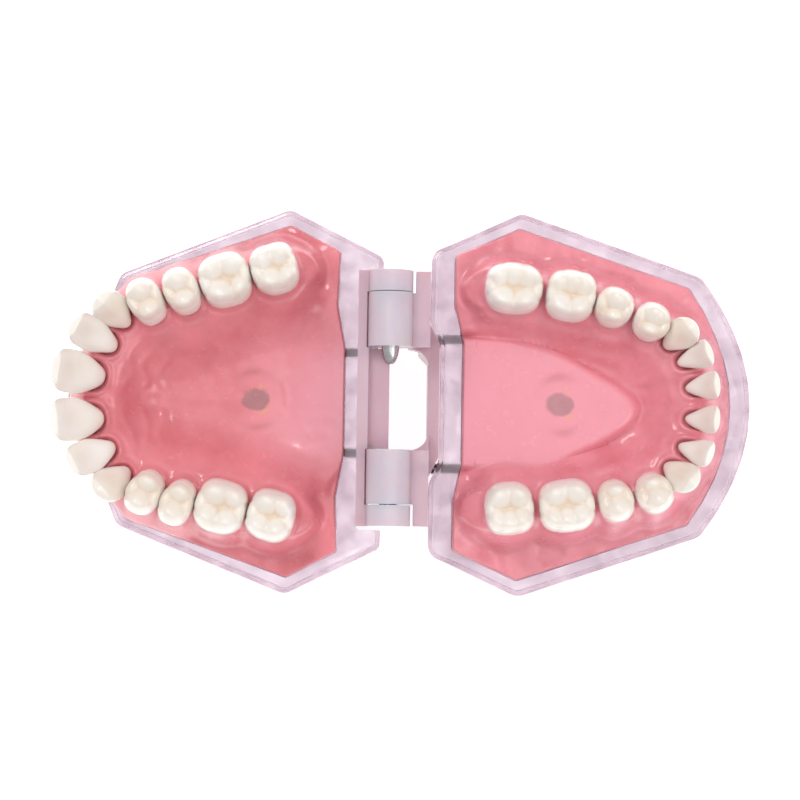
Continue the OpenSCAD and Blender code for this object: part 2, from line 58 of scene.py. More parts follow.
LR = [[57.4, 2.8, 4, 5.1, 6.0, 1], [56.2, 8.6, 20, 5.1, 6.4, 1],
      [53.8, 13.3, 38, 6.1, 7.2, 2], [48.7, 16.4, 60, 6.9, 7.8, 4],
      [41.7, 17.9, 74, 6.6, 8.2, 4], [32.7, 18.9, 82, 10.4, 10.0, 6],
      [22.2, 19.6, 84, 9.2, 10.0, 6]]
NAMES = ["central_incisor", "lateral_incisor", "canine", "first_premolar",
         "second_premolar", "first_molar", "second_molar"]
UC, LC, UI, LI = np.array([27.0, 0.0]), np.array([33.0, 0.0]), 25.3, 32.0


def smooth(x):
    x = np.clip(x, 0, 1)
    return x * x * (3 - 2 * x)


def mix(a, b, t):
    return a + (b - a) * t


def spow(x, p):
    return np.sign(x) * np.abs(x) ** p


# ------------------------------------------------------------------ meshes
def to_row(P, jaw):
    """jaw coordinates in mm (distance from the axis, side, height) to the row frame in metres"""
    Q = np.array(P, float)
    Q[:, 0] = AX + (Q[:, 0] if jaw == "lower" else -Q[:, 0])
    return Q * MM


def make(name, P, F, jaw=None, angle=40, attrs=None):
    """A mesh object from points in mm and faces. A mirrored jaw turns the faces round."""
    if jaw:
        V = to_row(P, jaw)
        if jaw == "upper":
            F = [tuple(reversed(f)) for f in F]
    else:
        V = np.array(P, float) * MM
    me = bpy.data.meshes.new(name)
    me.from_pydata(V.tolist(), [], [tuple(int(i) for i in f) for f in F])
    me.update()
    me.polygons.foreach_set("use_smooth", [True] * len(me.polygons))
    if angle < 180:
        me.set_sharp_from_angle(angle=math.radians(angle))
    # vertex colour layer of tint and painted light: on teeth a tan tint and painted warm shade, on gums a lighter
    # ground, the insert disc, painted shade and a painted glint
    if attrs is not None:
        a = me.color_attributes.new("painted_light_and_tint", "FLOAT_COLOR", "POINT")
        a.data.foreach_set("color", np.ascontiguousarray(attrs, dtype=np.float32).ravel())
    ob = bpy.data.objects.new(name, me)
    bpy.context.scene.collection.objects.link(ob)
    return ob


def loft_faces(n, rings, close_bottom=None, close_top=None, start=0):
    """Faces between rings of n points, counter-clockwise from above, going up."""
    F = []
    for j in range(rings - 1):
        a = start + j * n
        for i in range(n):
            k = (i + 1) % n
            F.append((a + i, a + k, a + n + k, a + n + i))
    if close_bottom is not None:
        for i in range(n):
            F.append((close_bottom, start + (i + 1) % n, start + i))
    if close_top is not None:
        t = start + (rings - 1) * n
        for i in range(n):
            F.append((close_top, t + i, t + (i + 1) % n))
    return F


def lathe(profile, n=48, shape=None):
    """Points and faces of a closed turned piece about Z from (r, z) pairs that start and end on the axis."""
    t = np.arange(n) * 2 * math.pi / n
    mid = profile[1:-1]
    P = [[0, 0, profile[0][1]]]
    for j, (r, z) in enumerate(mid):
        rr = r * np.ones(n) if shape is None else shape(j, r, z, t)
        P += np.stack([rr * np.cos(t), rr * np.sin(t), np.full(n, z)], 1).tolist()
    P.append([0, 0, profile[-1][1]])
    F = loft_faces(n, len(mid), 0, len(P) - 1, 1)
    return np.array(P), F


def joined(parts):
    P, F, k = [], [], 0
    for p, f in parts:
        P.append(np.asarray(p, float))
        F += [tuple(i + k for i in q) for q in f]
        k += len(p)
    return np.concatenate(P), F


# ------------------------------------------------------------------ outlines
def both(h):
    return [[p[0], -p[1]] for p in h] + [list(p) for p in reversed(h)]


def rounded(P, c, n=10):
    P = np.array(P, float)
    out = []
    for i in range(len(P)):
        q, a, b = P[i], P[i - 1], P[(i + 1) % len(P)]
        la, lb = np.linalg.norm(a - q), np.linalg.norm(b - q)
        k = min(c, la * 0.45, lb * 0.45)
        s, e = q + (a - q) * k / la, q + (b - q) * k / lb
        for j in range(n + 1):
            t = j / n
            out.append(s * (1 - t) ** 2 + q * 2 * t * (1 - t) + e * t * t)
    return np.array(out)


def resample(P, n):
    Q = np.vstack([P, P[:1]])
    d = np.r_[0, np.cumsum(np.linalg.norm(np.diff(Q, axis=0), axis=1))]
    t = np.arange(n) * d[-1] / n
    return np.stack([np.interp(t, d, Q[:, 0]), np.interp(t, d, Q[:, 1])], 1)


def inset(P, d):
    """moves a counter-clockwise outline inwards by d"""
    t = np.roll(P, -1, 0) - np.roll(P, 1, 0)
    t /= np.linalg.norm(t, axis=1)[:, None]
    return P + np.stack([-t[:, 1], t[:, 0]], 1) * d


def lower_half(df, c, yf, dr, yr, dk, yk):
    arc = [[df - c * y * y, y] for y in (yf * k / 5 for k in (5, 4, 3, 2, 1))]
    return [[9.35, 11.0], [dr, 15.2], [dr + 0.1, yr - 0.6], [dr + 1.0, yr + 1.0], [dr + 3.2, yr + 1.9], [dk, yk]] + arc


def lower_ring(*a):
    h = lower_half(*a)
    return [[p[0], -p[1]] for p in h] + [[a[0], 0]] + [list(p) for p in reversed(h)]


OUT = {
    "upper": (both([[1.6, 28.2], [19.6, 37.42], [52.1, 24.7], [53.9, 19.9], [57.9, 12.2], [60.8, 5.6], [61.5, 1.2]]),
              both([[1.5, 27.3], [19.2, 36.1], [50.9, 23.5], [52.6, 19.2], [56.6, 11.7], [59.7, 5.3], [60.4, 1.2]]),
              both([[8.5, 10], [10, 18], [9.6, 28], [19, 33], [49.2, 22.4], [51.7, 18.8], [56.0, 11.4], [59.1, 5.2], [59.8, 1.2]])),
    "lower": (lower_ring(69.15, 0.01525, 24.6, 7.6, 28.8, 26, 37.42),
              lower_ring(67.6, 0.0156, 24.4, 7.4, 27.8, 24.2, 36.0),
              [[13.6, -11.5], [12, -18], [12, -27.5], [24, -33]]
              + [[63.7 - 0.0158 * y * y, y] for y in (-22.2 * k / 5 for k in range(5, -6, -1))]
              + [[24, 33], [12, 27.5], [12, 18], [13.6, 11.5]]),
}


# ------------------------------------------------------------------ teeth
SQUARE = {0: 2.5, 1: 2.4, 2: 2.3, 3: 2.35, 4: 2.25, 5: 2.75, 6: 2.8}
TAPER = {0: .26, 1: .34, 2: .26, 3: .10, 4: .09, 5: .05, 6: .05}
# height share, width share, depth share, shift share
SHAPES = {
    0: [[0, .66, .55, -.48], [.09, .73, .62, -.42], [.20, .84, .69, -.33], [.38, .96, .68, -.16], [.58, 1, .50, .14],
        [.78, 1, .31, .48], [.92, .98, .21, .69], [1, .92, .13, .79]],
    1: [[0, .64, .78, -.12], [.10, .74, .84, -.11], [.22, .82, .85, -.07], [.40, .93, .76, .06], [.60, 1, .54, .28],
        [.80, 1, .35, .52], [.93, .99, .26, .66], [1, .94, .17, .72]],
    2: [[0, .64, .66, -.30], [.10, .74, .76, -.24], [.22, .88, .85, -.14], [.42, 1, .86, 0], [.60, 1, .70, .15],
        [.78, .99, .50, .32], [.92, .96, .33, .44], [1, .90, .18, .50]],
    3: [[0, .72, .76, 0], [.12, .82, .87, 0], [.30, .96, .98, 0], [.50, 1, .99, 0], [.75, .985, .93, 0], [.90, .955, .87, 0], [1, .91, .81, 0]],
    4: [[0, .72, .76, 0], [.12, .82, .88, 0], [.30, .96, .99, 0], [.50, 1, .985, 0], [.75, .985, .92, 0], [.90, .95, .85, 0], [1, .90, .79, 0]],
    5: [[0, .80, .78, 0], [.12, .88, .87, 0], [.30, .98, .98, 0], [.50, 1, .99, 0], [.75, .985, .94, 0], [.90, .96, .885, 0], [1, .92, .83, 0]],
    6: [[0, .80, .78, 0], [.12, .88, .87, 0], [.30, .98, .98, 0], [.50, 1, .985, 0], [.75, .985, .93, 0], [.90, .955, .875, 0], [1, .915, .82, 0]],
}
CUSPS = {
    3: [[0, .52, 0], [.06, -.50, .35], [.82, .05, 1.15], [-.84, .02, 1.25]],
    4: [[0, .42, 0], [.12, -.50, .95], [.82, -.05, 1.25], [-.82, -.05, 1.2]],
    5: [[.47, .54, .05], [-.42, .54, .15], [.34, -.50, 0], [-.52, -.50, .55], [.90, .02, 1.0], [-.90, 0, 1.15]],
    6: [[.50, .54, .1], [-.06, .60, .2], [-.60, .46, .45], [.47, -.54, 0], [-.40, -.54, .1], [.92, 0, 1.1], [-.92, -.05, 1.2]],
}


def pchip(x, y, q):
    """monotone cubic through (x, y) at q"""
    x, y = np.array(x, float), np.array(y, float)
    h, d = np.diff(x), np.diff(y) / np.diff(x)
    m = np.zeros(len(x))
    for i in range(1, len(x) - 1):
        if d[i - 1] * d[i] > 0:
            w1, w2 = 2 * h[i] + h[i - 1], h[i] + 2 * h[i - 1]
            m[i] = (w1 + w2) / (w1 / d[i - 1] + w2 / d[i])
    m[0], m[-1] = d[0], d[-1]
    k = np.clip(np.searchsorted(x, q, side="right") - 1, 0, len(x) - 2)
    t = (q - x[k]) / h[k]
    return ((2 * t ** 3 - 3 * t ** 2 + 1) * y[k] + (t ** 3 - 2 * t ** 2 + t) * h[k] * m[k]
            + (-2 * t ** 3 + 3 * t ** 2) * y[k + 1] + (t ** 3 - t ** 2) * h[k] * m[k + 1])


def tooth_top(T, upper, i):
    return BITE + (0.8 if i == 0 else 0.3) if T[5] == 0 else BITE - 0.5 if T[5] == 1 else BITE


def table(kind, W, B, x, y, zt):
    """height of the chewing surface, and how deep in a groove each point is"""
    f = np.stack([zt - c[2] - 0.36 * np.power((x - c[0] * W) ** 2 + (y - c[1] * B) ** 2 + 0.05, 0.86) for c in CUSPS[kind]])
    s = np.sort(f, axis=0)
    top = s[-1] + np.log(np.exp((f - s[-1]) * 4.5).sum(0)) / 4.5 - 0.06
    g = np.exp(-((s[-1] - s[-2]) / 0.58) ** 2)
    return top, g


def tooth_mesh(T, upper, i, seed):
    kind, W, B = T[5], T[3] / 2, T[4] / 2
    zt, zc = tooth_top(T, upper, i), 19.4
    n = 84
    t = (np.arange(n) + 0.5) * 2 * math.pi / n
    e = 2 / SQUARE[kind]
    c, s = spow(np.cos(t), e), spow(np.sin(t), e)
    tap = 1 + TAPER[kind] * (s - 0.5) * (1.0 if kind <= 2 else 0.6)
    tap /= np.abs(c * tap).max()
    bow = {0: 1.25, 1: 0.50, 2: 1.15}.get(kind, 0)
    side_f = 0.45 + 0.55 * smooth((s + 0.6) / 0.8)
    S = np.array(SHAPES[kind])
    r = np.random.RandomState(seed)
    wob = sum(r.uniform(-.010, .010) * np.cos(k * t + r.uniform(0, 6.28)) for k in (2, 3, 4, 5))
    side_s = np.r_[np.linspace(0, 0.9, 13), np.linspace(0.93, 1, 4)]
    rows, painted_light_and_tint = [], []

    def ring(kx, ky, off, extra=0.0):
        return W * kx * c * tap * (1 + wob), B * ky * s * (1 + wob) + off * B

    # root
    for z in (TRAY, TRAY + 0.15, 13.0, 17.5):
        k = 0.97 if z == TRAY else 1.0
        x, y = ring(S[0, 1] * k, S[0, 2] * k, S[0, 3])
        rows.append(np.stack([x, y, np.full(n, z)], 1))
        painted_light_and_tint.append(np.zeros(n))
    if kind <= 2:
        def edge_z(x):
            u = x / W
            if kind == 0:
                return zt - 0.34 * np.abs(u) ** 5 - 0.30 * np.clip(-u, 0, 1) ** 4 - (0.10 if i else 0.0) * u ** 2
            if kind == 1:
                return zt - 0.22 * np.abs(u) ** 5 - 0.12 * np.clip(-u, 0, 1) ** 4
            return zt - 1.75 * np.power(u * u + 0.01, 0.6) - 0.35 * np.clip(-u, 0, 1)
        for q in side_s:
            kx, ky, off = (float(pchip(S[:, 0], S[:, m], np.array([q]))[0]) for m in (1, 2, 3))
            x, y = ring(kx, ky, off)
            zz = zc + (edge_z(x) - zc) * q
            # hollow on the tongue side between the two side ridges, and the bump at its foot
            back = np.clip(-s, 0, 1) ** 0.8
            hollow = {0: .62, 1: .26, 2: .30}[kind] * np.exp(-(x / (.50 * W)) ** 2) * np.exp(-((q - .60) / .24) ** 2)
            foot = {0: .28, 1: .10, 2: .20}[kind] * np.exp(-(x / (.42 * W)) ** 2) * np.exp(-((q - .22) / .13) ** 2)
            front = np.clip(s, 0, 1)
            y = y - bow * smooth((q - .08) / .5) * np.abs(x / W) ** 2.6 * side_f
            y = y + back * (hollow - foot) + front * 0.10 * np.exp(-(x / (.5 * W)) ** 2) * math.sin(math.pi * q)
            if kind == 2:
                y = y + back * -0.22 * np.exp(-(x / (.22 * W)) ** 2) * np.exp(-((q - .66) / .22) ** 2)
            rows.append(np.stack([x, y, zz], 1))
            # tan weights: tinted in the hollow behind the edge and over the whole canine, and painted warm shade on
            # the sides towards the gum line, between the teeth
            painted_light_and_tint.append(back * np.exp(-((q - .76) / .15) ** 2) * (0.25 if kind == 0 else 0.42) * np.exp(-(x / (.75 * W)) ** 2) + (0.22 if kind == 2 else 0) + 0.5 * float(smooth(np.array((0.4 - q) / 0.4))))
        kx0, ky0, off0 = S[-1, 1:]
        for q in (.90, .72, .48, .22):
            x, y = W * kx0 * c * tap * (0.93 + 0.07 * q), B * ky0 * s * q + off0 * B
            y = y - bow * np.abs(x / W) ** 2.6 * mix(0.8, side_f, q)
            dome = 0.13 * (1 - q ** 2)
            rows.append(np.stack([x, y, edge_z(x) + dome - 0.02], 1))
            painted_light_and_tint.append(np.full(n, 0.0))
        P = np.concatenate(rows)
        P = np.vstack([P, [[0, S[0, 3] * B, TRAY], [0, off0 * B, float(edge_z(np.zeros(1))[0]) + 0.11]]])
    else:
        def rim_drop(p):
            return 1.15 * np.clip((p - 0.66) / 0.34, 0, 1) ** 2.2
        x1, y1 = ring(S[-1, 1], S[-1, 2], 0)
        zr, _ = table(kind, W, B, x1, y1, zt)
        zr = np.maximum(zr, zt - 1.9) - rim_drop(np.array(1.0))
        for q in side_s:
            kx, ky = (float(pchip(S[:, 0], S[:, m], np.array([q]))[0]) for m in (1, 2))
            x, y = ring(kx, ky, 0)
            # shallow grooves between the cusps running down the cheek and tongue sides
            _, g = table(kind, W, B, x1, y1, zt)
            k = 1 - 0.045 * g * q ** 1.5
            rows.append(np.stack([x * k, y * k, zc + (zr - zc) * q], 1))
            # painted warm shade on the sides towards the gum line, between the teeth
            painted_light_and_tint.append(np.full(n, 0.6 * float(smooth(np.array((0.6 - q) / 0.5)))))
        for p in np.r_[np.linspace(.985, .70, 12), np.linspace(.66, .03, 22)]:
            x, y = x1 * p, y1 * p
            z, g = table(kind, W, B, x, y, zt)
            low = zt - mix(2.55, 1.9, smooth((p - .5) / .5))
            z = low + np.logaddexp((z - low) * 5, 0) / 5 - 0.03
            mask = smooth((0.93 - p) / 0.22)
            z = z - 0.13 * g * mask - rim_drop(np.array(p))
            rows.append(np.stack([x, y, z], 1))
            # tan in the grooves and the deepest hollow of the chewing surface, and an even tan tone on premolars
            painted_light_and_tint.append(mask * (0.20 * g + 0.95 * np.exp(-((z - (zt - 2.5)) / .65) ** 2)) + (0.28 if kind < 5 else 0.05))
        P = np.concatenate(rows)
        z0, _ = table(kind, W, B, np.zeros(1), np.zeros(1), zt)
        zc0 = float(np.mean(rows[-1][:, 2]))
        P = np.vstack([P, [[0, 0, TRAY], [0, 0, zc0 - 0.03]]])
    P[:, 2] = np.minimum(P[:, 2], zt)
    w = np.r_[np.concatenate(painted_light_and_tint), 0.0, 0.5 if kind > 2 else 0.0]
    if kind > 2:
        return P, loft_faces(n, len(rows), len(P) - 2, len(P) - 1), w
    F = loft_faces(n, len(rows), len(P) - 2)
    a, h = (len(rows) - 1) * n, n // 2
    # angles i and n - 1 - i lie across from each other, so strips close the thin edge
    for i in range(h - 1):
        F.append((a + i, a + i + 1, a + n - 2 - i, a + n - 1 - i))
    return P[:-1], F, w[:-1]


def seat(P, T, side):
    """tooth coordinates to jaw coordinates; side -1 mirrors"""
    a = math.radians(T[2] - 90)
    x = P[:, 0] * math.cos(a) - P[:, 1] * math.sin(a) + T[0]
    y = P[:, 0] * math.sin(a) + P[:, 1] * math.cos(a) + T[1]
    return np.stack([x, y * side, P[:, 2]], 1)


def root_y(T):
    return SHAPES[T[5]][0][3] * T[4] / 2


# ------------------------------------------------------------------ gums
def value_noise(P, scale, seed):
    """smooth noise of plan position, between -1 and 1"""
    r = np.random.RandomState(seed)
    G = r.uniform(-1, 1, (64, 64))
    q = P / scale + 16
    i = np.floor(q).astype(int)
    f = q - i
    f = f * f * (3 - 2 * f)
    g = lambda a, b: G[a % 64, b % 64]
    return ((g(i[:, 0], i[:, 1]) * (1 - f[:, 0]) + g(i[:, 0] + 1, i[:, 1]) * f[:, 0]) * (1 - f[:, 1])
            + (g(i[:, 0], i[:, 1] + 1) * (1 - f[:, 0]) + g(i[:, 0] + 1, i[:, 1] + 1) * f[:, 0]) * f[:, 1])


def blur(Z, sigma):
    k = int(3 * sigma + 1)
    w = np.exp(-0.5 * (np.arange(-k, k + 1) / sigma) ** 2)
    w /= w.sum()
    Q = np.pad(Z, k, mode="edge")
    Q = sum(w[i] * Q[i:i + Z.shape[0], :] for i in range(2 * k + 1))
    return sum(w[i] * Q[:, i:i + Z.shape[1]] for i in range(2 * k + 1))


def gum_parts(P, jaw):
    """distance fields and the unsmoothed shape of the gum over plan points"""
    teeth = [(T, 1) for T in (UL if jaw == "upper" else LL)] + [(T, -1) for T in (UR if jaw == "upper" else LR)]
    C = UC if jaw == "upper" else LC
    ts, xs, ys, cens = [], [], [], []
    for T, side in teeth:
        a = math.radians(T[2])
        bx, by = math.cos(a), math.sin(a)
        cx, cy = T[0] + root_y(T) * bx, T[1] + root_y(T) * by
        dx, dy = P[:, 0] - cx, P[:, 1] * side - cy
        v, u = dx * bx + dy * by, dx * by - dy * bx
        k = SHAPES[T[5]][0]
        W, B = T[3] / 2 * k[1], T[4] / 2 * k[2]
        q = (np.abs(u / W) ** 2.3 + np.abs(v / B) ** 2.3) ** (1 / 2.3)
        ts.append((q - 1) * math.sqrt(W * B))
        xs.append(u / W / np.maximum(q, .3))
        ys.append(v / B / np.maximum(q, .3))
        cens.append((cx, cy * side))
    ts, xs, ys = np.array(ts), np.array(xs), np.array(ys)
    k = ts.argmin(0)
    idx = np.arange(len(P))
    pads = []
    for j in (6, 13):
        cx, cy = cens[j]
        for e in ((4.5,) if jaw == "lower" else (3.4,)):
            q = np.sqrt(((P[:, 0] - (cx - e)) / 4.6) ** 2 + ((P[:, 1] - cy * 1.01) / 3.7) ** 2)
            pads.append((q - 1) * 4.0 + 1.0)
    cen = np.array(cens)
    near = cen[((P[:, None, :] - cen[None]) ** 2).sum(2).argmin(1)]
    inside = smooth(0.5 - (np.linalg.norm(P - C, axis=1) - np.linalg.norm(near - C, axis=1)) / 2.0)
    d = -np.log(np.exp(-np.clip(np.vstack([ts] + pads), -2, 30) * 1.3).sum(0)) / 1.3 + 0.25
    top = MARGIN - 0.35 - 3.3 * smooth((19.0 - P[:, 0]) / 10.0)
    n1 = value_noise(P, 9.0, 1)
    r = np.abs(P[:, 1])
    if jaw == "upper":
        fl = FLOOR + 2.6 * np.clip(r / 18, 0, 1.2) ** 2 + 0.22 * n1
        run_in, edge_q = 9.0, np.zeros(len(P)) + 9
    else:
        y0 = np.where(P[:, 0] < 30, 12.6, mix(12.6, 9.0, np.clip((P[:, 0] - 30) / 17, 0, 1)))
        edge_q = np.sqrt(np.clip((P[:, 0] - 14) / 33.4, 0, 9) ** 2 + ((P[:, 1] + 0.9 * smooth((P[:, 0] - 20) / 22)) / y0) ** 2)
        fl = FLOOR + 0.2 * n1
        run_in = 6.4
    zin = mix(top, fl, smooth((d - 0.75) / run_in))
    zout = mix(top, 12.75, smooth((d - 0.75) / 3.3))
    return ts[k, idx], xs[k, idx], ys[k, idx], d, inside, mix(zout, zin, inside), edge_q, n1


RASTER = {}


def macro(P, jaw):
    """the same shape smoothed, read from a raster"""
    h = 0.4
    if jaw not in RASTER:
        gx, gy = np.arange(0, 76, h), np.arange(-42, 42, h)
        X, Y = np.meshgrid(gx, gy, indexing="ij")
        Z = gum_parts(np.stack([X.ravel(), Y.ravel()], 1), jaw)[5].reshape(X.shape)
        RASTER[jaw] = (blur(Z, 1.5), blur(Z, 3.4))
    out = []
    q = np.stack([P[:, 0] / h, (P[:, 1] + 42) / h], 1)
    for Z in RASTER[jaw]:
        i = np.clip(np.floor(q).astype(int), 0, np.array(Z.shape) - 2)
        f = np.clip(q - i, 0, 1)
        out.append((Z[i[:, 0], i[:, 1]] * (1 - f[:, 0]) + Z[i[:, 0] + 1, i[:, 1]] * f[:, 0]) * (1 - f[:, 1])
                   + (Z[i[:, 0], i[:, 1] + 1] * (1 - f[:, 0]) + Z[i[:, 0] + 1, i[:, 1] + 1] * f[:, 0]) * f[:, 1])
    return out


def gum_field(P, jaw):
    """height of the gum surface over plan points, and its colour weights (light, disc, deep, glint): a lighter ground,
    painted light on the tongue top, the insert's disc, painted shade, and a painted glint on the insert
    """
    t, ux, vy, d, inside, z, q, n1 = gum_parts(P, jaw)
    za, zb = macro(P, jaw)
    z = mix(z, za, smooth((d - 0.3) / 1.6))
    z = mix(z, zb, smooth((d - 2.2) / 3.0) * np.maximum(inside, smooth((17 - P[:, 0]) / 5)))
    if jaw == "upper":
        z = mix(z, 15.0 + 1.1 * smooth((np.abs(P[:, 1]) - 7) / 11) + 0.18 * n1, 0.85 * smooth((21 - P[:, 0]) / 12) * smooth((d - 0.8) / 3))
    else:
        z = mix(z, 15.3 + 1.6 * smooth((np.abs(P[:, 1]) - 13) / 6) + 0.2 * n1, 0.85 * smooth((20.0 - P[:, 0]) / 8) * smooth((d - 0.8) / 2) * smooth((q - 0.98) / .1))
    n2, n3 = value_noise(P, 3.4, 2), value_noise(P, 1.5, 3)
    r = np.abs(P[:, 1])
    if jaw == "upper":
        # the raised seam of the palate and the folds behind the front teeth
        z += 0.16 * np.exp(-(P[:, 1] / 1.1) ** 2) * smooth((P[:, 0] - 20) / 8) * smooth((50 - P[:, 0]) / 3)
        for k0, (x0, amp) in enumerate(((49.0, .20), (46.2, .26), (43.2, .24), (40.2, .18), (37.2, .12))):
            bend = x0 - 0.045 * r ** 1.6 + 0.6 * np.sin(r * 0.8 + k0 * 1.7 + P[:, 1] * 0.2) * (r > 1.0)
            z += amp * np.exp(-((P[:, 0] - bend) / 0.75) ** 2) * smooth((r - 0.8) / 2.2) * smooth((12.5 - k0 * 1.3 - r) / 4.0)
        z += 0.55 * np.exp(-((P[:, 0] - 50.8) / 1.7) ** 2 - (P[:, 1] / 1.2) ** 2)
        # paler towards the back middle of the palate
        light = np.clip(0.95 * smooth((31 - P[:, 0]) / 20.0) * smooth((19 - r) / 15) + 0.08 * n1, 0, 1)
    else:
        tong = 1 - smooth((q - 0.93) / 0.085)
        away = smooth((q - 1.0) / 0.12) * inside * smooth((d - 0.9) / 1.5)
        ang = np.arctan2(P[:, 1], P[:, 0] - 38)
        z += 0.30 * np.sin(ang * 15 + 1.5 * n1) * smooth((P[:, 0] - 42) / 6) * away
        z += 0.22 * np.sin(r * 2.1 + P[:, 0] * 0.35 + 2 * n1) * away * smooth((44 - P[:, 0]) / 4)
        z = mix(z, np.maximum(z, TONGUE + 0.35 * (1 - np.clip(q, 0, 1) ** 2)), tong)
        z += 0.20 * np.exp(-((q - 0.90) / 0.05) ** 2) * (P[:, 0] > 16)
        # painted light: the top of the tongue is lighter
        light = np.clip(tong * (0.85 + 0.2 * n1), 0, 1)
    wall = smooth((d - 0.75) / 3.1) * (1 - inside)
    z += (0.30 * np.sin(P[:, 0] * 0.95 + 2.2 * n1) * n2 + 0.25 * n2) * wall * 0.9
    close = np.exp(-(np.clip(t, 0, 9) / 1.5) ** 2)
    z += close * (0.95 * ux ** 2 - 0.55 * vy ** 2)
    z += 0.30 * np.exp(-((t - 0.85) / 0.42) ** 2) - 0.14 * np.exp(-((t - 1.75) / 0.5) ** 2)
    z -= 0.55 * np.exp(-(np.clip(t, -9, 9) / 0.22) ** 2)
    z = np.where(t < 0, np.minimum(z, MARGIN - 1.0), z)
    z += 0.05 * n3 * smooth((d - 1.2) / 2.0)
    z = np.maximum(z, RIM + 0.35)
    # the insert seen through the plate: its disc, with painted shade in arcs at the edge of its recess (ring) and a
    # painted glint on the brass (glint)
    ic = np.array([UI - .2, .15]) if jaw == "upper" else np.array([LI, -.15])
    v = P - ic
    rr = np.hypot(v[:, 0], v[:, 1])
    sgn = 1 if jaw == "lower" else -1          # +X in the row frame
    ax = np.arctan2(v[:, 1], sgn * v[:, 0])
    disc = 1 - smooth((rr - 2.25) / 0.4)
    ring = np.exp(-((rr - 5.2) / 0.75) ** 2) * (np.exp(-((ax - 1.75) / .55) ** 2) + 0.85 * np.exp(-((ax + 1.45) / .45) ** 2))
    glint = np.exp(-((rr - 2.75) / .28) ** 2) * (np.exp(-((ax + .95) / .38) ** 2) + 0.6 * np.exp(-((ax - 1.15) / .22) ** 2))
    z += 0.06 * np.exp(-((rr - 5.8) / 0.45) ** 2) + 0.05 * (1 - smooth((rr - 2.3) / .4))
    # painted shade: darker round the tooth necks, in arcs at the edge of the insert's recess and on low ground, and
    # darker over the front middle of the upper palate
    deep = np.clip(0.80 * np.exp(-(np.clip(t, 0, 9) / 0.7) ** 2) + 0.75 * ring + 0.10 * (1 - light) * smooth((15.5 - z) / 2)
                   + (0.26 * smooth((P[:, 0] - 22) / 10) * smooth((15 - r) / 8) * inside if jaw == "upper" else 0), 0, 1)
    return z, np.stack([light, disc, deep, glint], 1)


def gum(jaw):
    C = UC if jaw == "upper" else LC
    O = resample(rounded(OUT[jaw][2], 0.5), 470)
    rs = np.r_[np.linspace(0.02, 0.42, 20), np.linspace(0.44, 0.985, 82), [0.99, 0.995, 1.0]]
    n = len(O)
    rows, cols = [], []
    for j, r in enumerate(rs):
        q = C + (O - C) * r
        z, a = gum_field(q, jaw)
        if r > 0.985:                      # rounded upper edge of the plate
            q = C + (O - C) * 0.985 + (O - C) * (r - 0.985)
            z = z - {0.99: 0.05, 0.995: 0.16, 1.0: 0.42}[round(float(r), 3)]
        rows.append(np.column_stack([q, z]))
        cols.append(a)
    # side wall and underside
    for z in (RIM - 0.3, TRAY + 0.2, TRAY):
        q = O if z != TRAY else inset(O, 0.2)
        rows.append(np.column_stack([q, np.full(n, z)]))
        cols.append(np.zeros((n, 4)))
    P = np.concatenate(rows)
    A = np.concatenate(cols)
    zc, ac = gum_field(C[None, :] + 0.001, jaw)
    P = np.vstack([P, [[C[0], C[1], zc[0]], [C[0], C[1], TRAY]]])
    A = np.vstack([A, ac, [[0, 0, 0, 0]]])
    m = len(rows)
    F = []
    for j in range(m - 1):
        a = j * n
        for i in range(n):
            k = (i + 1) % n
            F.append((a + i, a + n + i, a + n + k, a + k))
    for i in range(n):
        F.append((len(P) - 2, i, (i + 1) % n))
        F.append((len(P) - 1, (m - 1) * n + (i + 1) % n, (m - 1) * n + i))
    return make("gum_plate_" + jaw, P, F, jaw, 60, A)


# ------------------------------------------------------------------ materials
def new_material(name):
    m = bpy.data.materials.new(name)
    m.use_nodes = True
    nt = m.node_tree
    b = nt.nodes["Principled BSDF"]
    return m, nt, b


def noise(nt, scale, detail=3.0, rough=0.55, coord="Object"):
    tc = nt.nodes.new("ShaderNodeTexCoord")
    n = nt.nodes.new("ShaderNodeTexNoise")
    n.inputs["Scale"].default_value = scale
    n.inputs["Detail"].default_value = detail
    n.inputs["Roughness"].default_value = rough
    nt.links.new(tc.outputs[coord], n.inputs["Vector"])
    return n


def ramp(nt, src, stops):
    r = nt.nodes.new("ShaderNodeValToRGB")
    el = r.color_ramp.elements
    while len(el) < len(stops):
        el.new(0.5)
    for e, (p, c) in zip(el, stops):
        e.position = p
        e.color = (*c, 1) if len(c) == 3 else c
    nt.links.new(src, r.inputs["Fac"])
    return r


def map_range(nt, src, a, b, lo=0.0, hi=1.0):
    r = nt.nodes.new("ShaderNodeMapRange")
    r.inputs["From Min"].default_value = lo
    r.inputs["From Max"].default_value = hi
    r.inputs["To Min"].default_value = a
    r.inputs["To Max"].default_value = b
    nt.links.new(src, r.inputs["Value"])
    return r


def mix_col(nt, fac, a, b):
    x = nt.nodes.new("ShaderNodeMix")
    x.data_type = "RGBA"
    for s, v in ((x.inputs[0], fac), (x.inputs[6], a), (x.inputs[7], b)):
        if isinstance(v, (int, float)):
            s.default_value = v
        elif isinstance(v, (tuple, list)):
            s.default_value = (*v, 1)
        else:
            nt.links.new(v, s)
    return x.outputs[2]


def bump(nt, b, src, strength, dist):
    k = nt.nodes.new("ShaderNodeBump")
    k.inputs["Strength"].default_value = strength
    k.inputs["Distance"].default_value = dist
    nt.links.new(src, k.inputs["Height"])
    nt.links.new(k.outputs["Normal"], b.inputs["Normal"])


def srgb(r, g, b):
    return tuple((c / 255 / 12.92) if c <= 10 else ((c / 255 + 0.055) / 1.055) ** 2.4 for c in (r, g, b))


